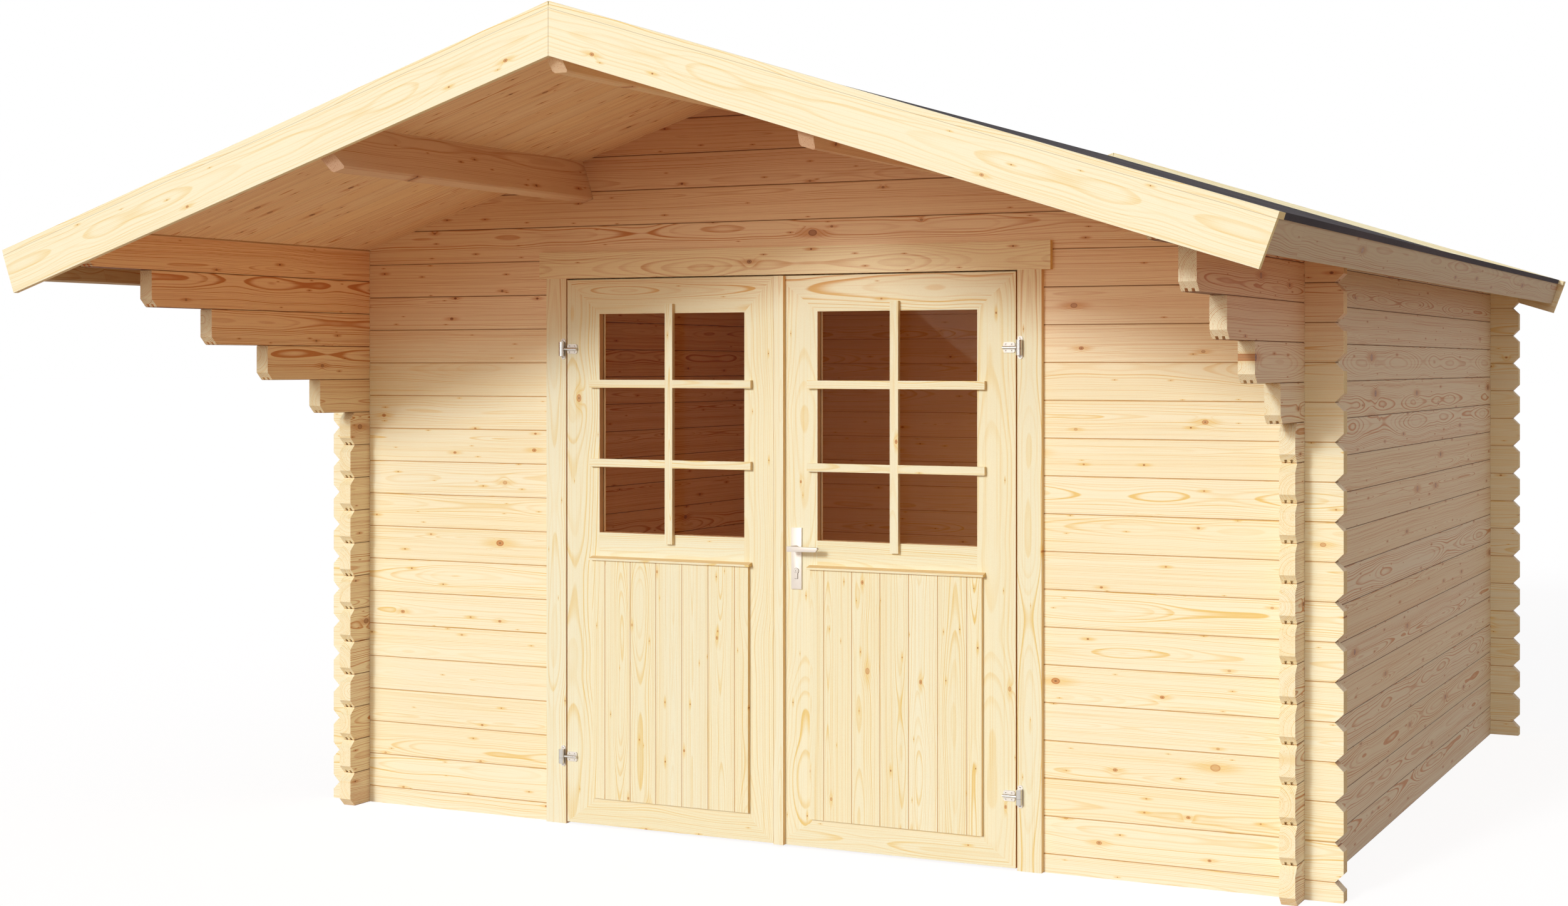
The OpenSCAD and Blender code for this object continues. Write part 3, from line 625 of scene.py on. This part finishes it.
# ---------------------------------------------------------------- wood of the roof
def barge_lines(t, where):
    """Thin joints under the cap strips and between the two boards at the ridge."""
    under_cap = t.ramp(ridge_height(t, where), BARGE_TOP - 0.0014, BARGE_TOP - 0.0008)
    ridge = t.ramp(t.size(t.dot(where, X)), 0.0012, 0.0006)
    return t.times(t.math("MAXIMUM", under_cap, ridge), 0.8)


def fascia_joint(t, where):
    """Butt joint of the fascia near the front."""
    gap = t.size(t.minus(t.dot(where, Y), FASCIA_JOINT))
    return t.ramp(gap, 0.0016, 0.0006, 0.0, 0.5)


# the roof's wood gets painted shade: the shade palette and a tone on purlins, deck and fascia
wood("purlin_ridge", Y, Z, X, **one(SOFFIT_PEAK - RIDGE_DOWN, 0.16), seed=5.0, lines=0.6,
     tint=PAINTED_WARM_SHADE, end=GOLDEN_END, **SHADE)
for side, s in SIDES:
    down, up = (s * CP, 0, -SP), (s * SP, 0, CP)
    wood("purlin_" + side, Y, up, down, **one(SOFFIT - PURLIN_DOWN, 0.15), seed=6.0 + s,
         lines=0.6, tint=PAINTED_PURLIN_SHADE, end=GOLDEN_END, **SHADE)
    wood("deck_" + side, down, Y, up, board=0.096, shift=0.02, seed=10.0 + s, seam=0.0006,
         knots=0.5, tint=PAINTED_DECK_SHADE, **SHADE)
    wood("bargeboards_" + side, down, up, Y, twin=True, **one(SOFFIT - BARGE_DOWN, 0.125),
         seed=13.0, pith=0.11, ring=0.0034, lines=0.5, knots=0.22, line=barge_lines)
    wood("caps_" + side, down, Y, up, **one(-CAP_Y, 2 * CAP_Y / 70), seed=16.0, knots=0.1)
    wood("fascia_" + side, Y, up, down, **one(SOFFIT - FASCIA_DOWN, 0.1), seed=19.0 + s,
         pith=0.06, tint=PAINTED_FASCIA_SHADE, line=fascia_joint, splice=FASCIA_JOINT, **SHADE)

# ---------------------------------------------------------------- wood of the door and floor
# painted shade on the sides of the door's boards, on the casings' tops and on the header
wood("door_casings", Z, X, Y, **one(CASING_X, CASING_X / 10), seed=22.0, pith=0.10, knots=0.2,
     sides=PAINTED_BOARD_EDGE_SHADE, shaded=CANOPY_CASINGS, **DOOR)
wood("door_header", X, Z, Y, **one(HEADER_Z, 0.1), seed=23.0, pith=0.05, tint=PAINTED_HEADER_SHADE,
     sides=PAINTED_BOARD_EDGE_SHADE, **SHADE)
wood("door_jambs", Z, X, Y, **one(CASING_X, CASING_X / 10), seed=24.0)
wood("door_head", X, Z, Y, **one(HEAD_Z, 0.1), seed=25.0)
wood("door_sill", X, Z, Y, **one(SILL_Z, 0.06), seed=26.0)
wood("floor_deck", X, Y, Z, board=0.096, seed=27.0, seam=0.0016)


def bars_wood(side, s):
    """Glazing bars: the upright runs through, and the crossbars meet it."""
    name = side + "_bars"
    made, t, shader, where = material(name + "_wood")
    up = cut(t, where, [name], Z, X, Y, **one(s * BAR_X, 0.06), seed=42.0 + s, knots=0.1, **DOOR)
    flat = cut(t, where, [name], X, Z, Y, **one(CROSSBAR_Z, CROSSBAR_ROW), seed=45.0 + s,
               knots=0.1, **DOOR)
    aside = t.size(t.minus(t.split(where)[0], s * BAR_X))
    colour = t.mix(t.math("LESS_THAN", aside, BAR_HALF), flat["colour"], up["colour"])
    # painted shade on faces that don't look to the front or back
    colour = toned(t, t.ramp(facing(t, Y), 0.6, 0.3), colour, PAINTED_BAR_EDGE_SHADE)
    finish_wood(t, shader, where, colour, up["rough"], Z, end=None)
    dress(made, name)


for side, s in SIDES:
    # painted shade on the leaves' sides and tops, and on the sides of the panels and drips
    framed = dict(knots=0.2, sides=PAINTED_FRAME_EDGE_SHADE, shaded=CANOPY_LEAVES, **DOOR)
    wood(side + "_stiles", Z, X, Y, **one(s * STILE_X, STILE_ROW[side]), seed=30.0 + s,
         pith=0.16, **framed)
    wood(side + "_rails", X, Z, Y, **one(RAIL_Z, RAIL_ROW), seed=33.0 + s, pith=0.09, **framed)
    panel_board = PANEL_W / PANEL_BOARDS
    wood(side + "_panel", Z, X, Y, board=panel_board, shift=s * PANEL_IN + panel_board / 2,
         seed=36.0 + s, seam=0.0014, knots=0.35, sides=PAINTED_BOARD_EDGE_SHADE, **DOOR)
    wood(side + "_drip", X, Z, Y, **one(DRIP_Z, 0.05), seed=39.0 + s, knots=0.1,
         sides=PAINTED_DRIP_EDGE_SHADE, **DOOR)
    bars_wood(side, s)
# painted shade on the cover strip's sides and top
wood("cover_strip", Z, X, Y, **one(0.0, 0.06), seed=48.0, knots=0.15,
     sides=PAINTED_STRIP_EDGE_SHADE, shaded=CANOPY_LEAVES, **DOOR)


# ---------------------------------------------------------------- felt, glass and metal
def felt():
    """Mineral felt in sheets that run along the eave and lap down the slope."""
    made, t, shader, where = material("felt")
    grit = t.noise(where, 900.0, 2.0, 0.7)
    patch = t.noise(t.scaled(where, (3.0, 1.2, 3.0)), 1.0, 2.0)
    sheet = t.over(t.size(t.dot(where, X)), SHEET * CP)
    lap = t.size(t.minus(t.math("FRACT", sheet), 0.5))
    lap = t.times(t.ramp(lap, 0.4960, 0.4985), t.math("GREATER_THAN", sheet, 0.5))
    mixed = t.ramp(t.muladd(patch, 0.35, t.times(grit, 0.65)), 0.34, 0.66)
    tone = t.mix(mixed, srgb(38, 34, 38), srgb(80, 73, 78))
    t.feed(shader.inputs["Base Color"], t.mix(lap, tone, srgb(20, 18, 20)))
    shader.inputs["Roughness"].default_value = 0.92
    shader.inputs["Specular IOR Level"].default_value = 0.22
    bump(t, shader, t.muladd(lap, -2.0, grit), 0.6, 0.0010)
    return made


def pane():
    """Thin clear glass with a faint wave, which lets the lamps through."""
    made, t, shader, where = material("pane")
    shader.inputs["Base Color"].default_value = (0.98, 0.99, 0.985, 1)
    shader.inputs["Roughness"].default_value = 0.0
    shader.inputs["Transmission Weight"].default_value = 1.0
    shader.inputs["IOR"].default_value = 1.12
    bump(t, shader, t.noise(where, 3.0, 1.0), 0.03, 0.001)
    shadow = t.add("LightPath").outputs["Is Shadow Ray"]
    show_mix(t, made, shadow, shader, t.add("BsdfTransparent"))
    return made


def metal(name, colour, roughness, scratch, shine=1.0):
    """Metal with fine brushing, a little duller and darker where it is scratched."""
    made, t, shader, where = material(name)
    brushed = t.noise(t.scaled(where, (90.0, 90.0, 900.0)), 1.0, 3.0, 0.6)
    colour = toned(t, t.times(brushed, scratch), colour, SCRATCHED)
    t.feed(shader.inputs["Base Color"], colour)
    t.feed(shader.inputs["Roughness"], t.muladd(brushed, 0.10, roughness))
    shader.inputs["Metallic"].default_value = shine
    bump(t, shader, brushed, 0.12, 0.0002)
    return made, t, shader, where


def hinge_metal():
    """Dull galvanised plates on the wood, polished barrels and pins in front of them."""
    made, t, shader, where = metal("hinge_zinc", srgb(214, 210, 204), 0.16, 0.5)
    plate = t.math("GREATER_THAN", t.dot(where, Y), Y_DOOR - LEAF_PLATE - 0.0002)
    cloudy = t.noise(where, 260.0, 2.0)
    dull = t.mix(cloudy, srgb(222, 217, 210), srgb(196, 191, 184))
    bright = shader.inputs["Base Color"].links[0].from_socket
    t.feed(shader.inputs["Base Color"], t.mix(plate, bright, dull))
    polish = shader.inputs["Roughness"].links[0].from_socket
    t.feed(shader.inputs["Roughness"], t.math("MAXIMUM", polish, t.times(plate, 0.48)))
    t.feed(shader.inputs["Metallic"], t.muladd(plate, -0.55, 1.0))
    return made


dress(felt(), "felt_left", "felt_right")
dress(pane(), "left_glass", "right_glass")
dress(hinge_metal(), "hinge_frames", "left_hinges", "right_hinges")
SATIN = metal("satin_metal", srgb(225, 221, 214), 0.42, 0.20, 0.25)[0]
# dark metal that paints the shade in the screws' cross recesses, in the gaps round the cylinder and
# plug, and in the keyway
PAINTED_RECESS_SHADE = metal("painted_recess_shade", srgb(74, 66, 60), 0.55, 0.5)[0]
SCREW_ZINC = metal("screw_zinc", srgb(206, 200, 192), 0.30, 0.5)[0]
dress(SATIN, "lock_plate", "lever")


# ---------------------------------------------------------------- fittings in detail
def piece(name, bm, body, slot, *made):
    """The mesh as a piece that rides on a CAD body."""
    bmesh.ops.recalc_face_normals(bm, faces=bm.faces)
    mesh = bpy.data.meshes.new(name)
    bm.to_mesh(mesh)
    bm.free()
    for finish in made:
        mesh.materials.append(finish)
    mesh.shade_smooth()
    mesh.set_sharp_from_angle(angle=math.radians(35))
    obj = bpy.data.objects.new(name, mesh)
    bpy.context.scene.collection.objects.link(obj)
    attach(obj, body)
    return obj


def softened(node, body, slot, made, width):
    """Copy of a CAD node with rounded edges, which stands for it."""
    bm = bmesh.new()
    bm.from_mesh(NODES[node].data)
    bmesh.ops.remove_doubles(bm, verts=bm.verts, dist=1e-6)
    bmesh.ops.dissolve_limit(bm, angle_limit=math.radians(1), verts=bm.verts, edges=bm.edges)
    sharp = [e for e in bm.edges if e.is_manifold and e.calc_face_angle() > math.radians(40)]
    bmesh.ops.bevel(bm, geom=sharp, offset=width, segments=3, profile=0.5, affect="EDGES",
                    clamp_overlap=True)
    obj = piece(node + "_rounded", bm, body, slot, made)
    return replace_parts(obj, node)


def cube_moved(bm, index, place):
    """Unit cube with this material index, whose corners go where place says."""
    corners = bmesh.ops.create_cube(bm, size=1.0)["verts"]
    for v in corners:
        v.co = Vector(place(v.co))
    for face in {f for v in corners for f in v.link_faces}:
        face.material_index = index


def box_at(bm, low, high, index=0):
    """Box between two corners with this material index."""
    cube_moved(bm, index, lambda co: (lo if c < 0 else hi for c, lo, hi in zip(co, low, high)))


def turned_y(bm, x, y, z, profile, index=0, steps=20):
    """Turned form about an axis along y; profile pairs are radius and distance in front of y."""
    rings = []
    for radius, out in profile:
        rings.append([bm.verts.new((x + radius * math.cos(a), y - out, z + radius * math.sin(a)))
                      for a in (i * math.tau / steps for i in range(steps))])
    for inner, outer in zip(rings, rings[1:]):
        for i in range(steps):
            j = (i + 1) % steps
            face = bm.faces.new((inner[i], inner[j], outer[j], outer[i]))
            face.material_index = index
    for ring in (rings[0], rings[-1]):
        bm.faces.new(ring).material_index = index


def screw(bm, x, y, z, radius, turn):
    """Low round screw head on a face at y, with a dark cross of painted shade for its recess."""
    turned_y(bm, x, y, z, ((radius, -0.0002), (radius, 0.00015), (radius * 0.8, 0.0006),
                           (radius * 0.35, 0.0008)))
    for angle in (turn, turn + math.pi / 2):
        def arm(co):
            along, across = co.x * radius * 1.25, co.z * radius * 0.26
            return (x + along * math.cos(angle) - across * math.sin(angle),
                    y - 0.00075 + co.y * 0.0003,
                    z + along * math.sin(angle) + across * math.cos(angle))
        cube_moved(bm, 1, arm)


def hinge_screws():
    """Two screws in each hinge plate on the casings, four in each plate on a leaf."""
    frame_x, frame_up, frame_radius = 0.810, 0.0285, 0.0032
    leaf_x, leaf_up, leaf_radius = (0.7645, 0.7835), 0.0100, 0.0026
    bm = bmesh.new()
    for _, s in SIDES:
        for middle in HINGE_Z:
            for z in (middle - frame_up, middle + frame_up):
                screw(bm, s * frame_x, Y_DOOR - FRAME_PLATE, z, frame_radius, 0.4 + 9.0 * z)
    piece("hinge_frame_screws", bm, "house", "zinc_steel", SCREW_ZINC, PAINTED_RECESS_SHADE)
    for side, s in SIDES:
        bm = bmesh.new()
        for z in HINGE_Z:
            for x in leaf_x:
                for up in (-leaf_up, leaf_up):
                    screw(bm, s * x, Y_DOOR - LEAF_PLATE, z + up, leaf_radius,
                          37.0 * x + 51.0 * up)
        piece(side + "_hinge_screws", bm, side + "_leaf", "zinc_steel", SCREW_ZINC, PAINTED_RECESS_SHADE)


def lock_fittings():
    """Pins of the lock plate, the cylinder's plug, and painted shadow round the cylinder, round the
    plug and in the keyway.
    """
    low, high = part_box("lock_plate")
    x = (low.x + high.x) / 2
    plate_y = Y_DOOR - LOCK_PLATE
    z = low.z + CYLINDER_UP
    pin_x, pin_down, pin_up = 0.0135, 0.009, 0.006
    bm = bmesh.new()
    for at_x, at_z in ((x - pin_x, high.z - pin_down), (x + pin_x, high.z - pin_down),
                       (x, low.z + pin_up)):
        turned_y(bm, at_x, plate_y, at_z, ((0.0017, -0.0002), (0.0015, 0.0003), (0.0006, 0.0005)))
    # painted shadow of the gap round the cylinder, its round and straight part, on the plate
    turned_y(bm, x, plate_y, z, ((0.0096, -0.0002), (0.0096, 0.0002)), 1, 40)
    box_at(bm, (x - 0.0062, plate_y - 0.0002, z - 0.0252), (x + 0.0062, plate_y + 0.0002, z), 1)
    # painted shadow of the gap round the plug, and the plug itself, on the cylinder's front
    turned_y(bm, x, low.y, z, ((0.0066, -0.0003), (0.0066, 0.00015)), 1, 32)
    turned_y(bm, x, low.y, z, ((0.0061, 0.0001), (0.0059, 0.0005)), 0, 32)
    # keyway in painted shadow: an upright slot with one step to each side
    for low_x, high_x, low_z, high_z in ((-0.0006, 0.0006, -0.0040, 0.0040),
                                         (-0.0006, 0.0014, -0.0012, 0.0000),
                                         (-0.0014, 0.0006, 0.0014, 0.0026)):
        box_at(bm, (x + low_x, low.y - 0.0007, z + low_z),
               (x + high_x, low.y - 0.0003, z + high_z), 1)
    piece("lock_fittings", bm, "right_leaf", "satin_steel", SATIN, PAINTED_RECESS_SHADE)


hinge_screws()
softened("lock_plate", "right_leaf", "satin_steel", SATIN, 0.0018)
softened("lever", "lever", "satin_steel", SATIN, 0.0016)
lock_fittings()


# ---------------------------------------------------------------- floor and sky
def ground():
    """White floor with soft shadows to the eye, warm pale ground to the light that it returns."""
    bpy.ops.mesh.primitive_plane_add(size=400, location=(0, 0, -0.0005))
    plane = bpy.context.object
    plane.name = "ground"
    made, t, shader, where = material("ground")
    shader.inputs["Roughness"].default_value = 0.9
    speck = t.noise(where, 6.0, 2.0)
    t.feed(shader.inputs["Base Color"], t.mix(speck, srgb(198, 154, 116), srgb(191, 149, 113)))
    seen = t.add("BsdfDiffuse")
    seen.inputs["Color"].default_value = (0.22, 0.22, 0.22, 1)
    glow = t.add("Emission")
    glow.inputs["Color"].default_value = (0.875, 0.875, 0.875, 1)
    white = t.add("AddShader")
    t.feed(white.inputs[0], seen.outputs[0])
    t.feed(white.inputs[1], glow.outputs[0])
    show_mix(t, made, seen_straight(t), shader, white)
    plane.data.materials.append(made)


def sky():
    """White to the eye, dim and nearly grey to the object."""
    world = bpy.data.worlds.new("sky")
    bpy.context.scene.world = world
    world.use_nodes = True
    t = Tree(world.node_tree)
    background = world.node_tree.nodes["Background"]
    colour = t.mix(seen_straight(t), (0.26, 0.25, 0.265, 1), (1, 1, 1, 1))
    t.feed(background.inputs["Color"], colour)
    background.inputs["Strength"].default_value = 1.0


ground()
sky()


# ---------------------------------------------------------------- lamps and camera
def lamp(name, kind, energy, colour, aim, **settings):
    """A lamp that shines along aim."""
    light = bpy.data.lights.new(name, kind)
    light.energy = energy
    light.color = colour
    for key, value in settings.items():
        setattr(light, key, value)
    made = bpy.data.objects.new(name, light)
    made.rotation_euler = Vector(aim).to_track_quat("-Z", "Y").to_euler()
    bpy.context.scene.collection.objects.link(made)
    return made


def falling(x, y, degrees):
    """Direction over the ground with this height angle, pointing down."""
    return (x, y, -math.tan(math.radians(degrees)) * math.hypot(x, y))


# name, strength, colour, direction over the ground, height and width of the source in degrees
for name, strength, colour, aim, height, width in (
    ("key", 1.41, (0.900, 0.965, 1.0), (0.19, 1.0), 18.3, 8),
    ("front", 1.25, (1.0, 0.90, 0.77), (0.17, 1.0), 15.0, 38),
    ("side", 0.47, (1.0, 0.94, 0.90), (-1.0, -0.1), 40.0, 100),
):
    lamp(name, "SUN", strength, colour, falling(*aim, height), angle=math.radians(width))

# warm lamp under the ridge, for the room behind the panes; it is never seen itself
room = lamp("room", "AREA", 5.0, (1.0, 0.50, 0.26), (0, 0, -1), shape="DISK", size=1.6)
room.location = (0.0, 0.8, 2.05)
for ray in ("camera", "glossy", "transmission"):
    setattr(room, "visible_" + ray, False)

# camera fitted to the straight edges of the house, level, with the horizon moved by its shift
camera = bpy.data.cameras.new("camera")
camera.lens = 51.856
camera.sensor_width = 36.0
camera.sensor_fit = "HORIZONTAL"
camera.shift_y = -0.05596
camera.clip_end = 500.0
eye = bpy.data.objects.new("camera", camera)
eye.location = (3.203, -7.46975, 1.5307)
eye.rotation_euler = (math.radians(90), 0, math.radians(26.37))
bpy.context.scene.collection.objects.link(eye)
bpy.context.scene.camera = eye
bpy.context.scene.view_settings.view_transform = "Standard"
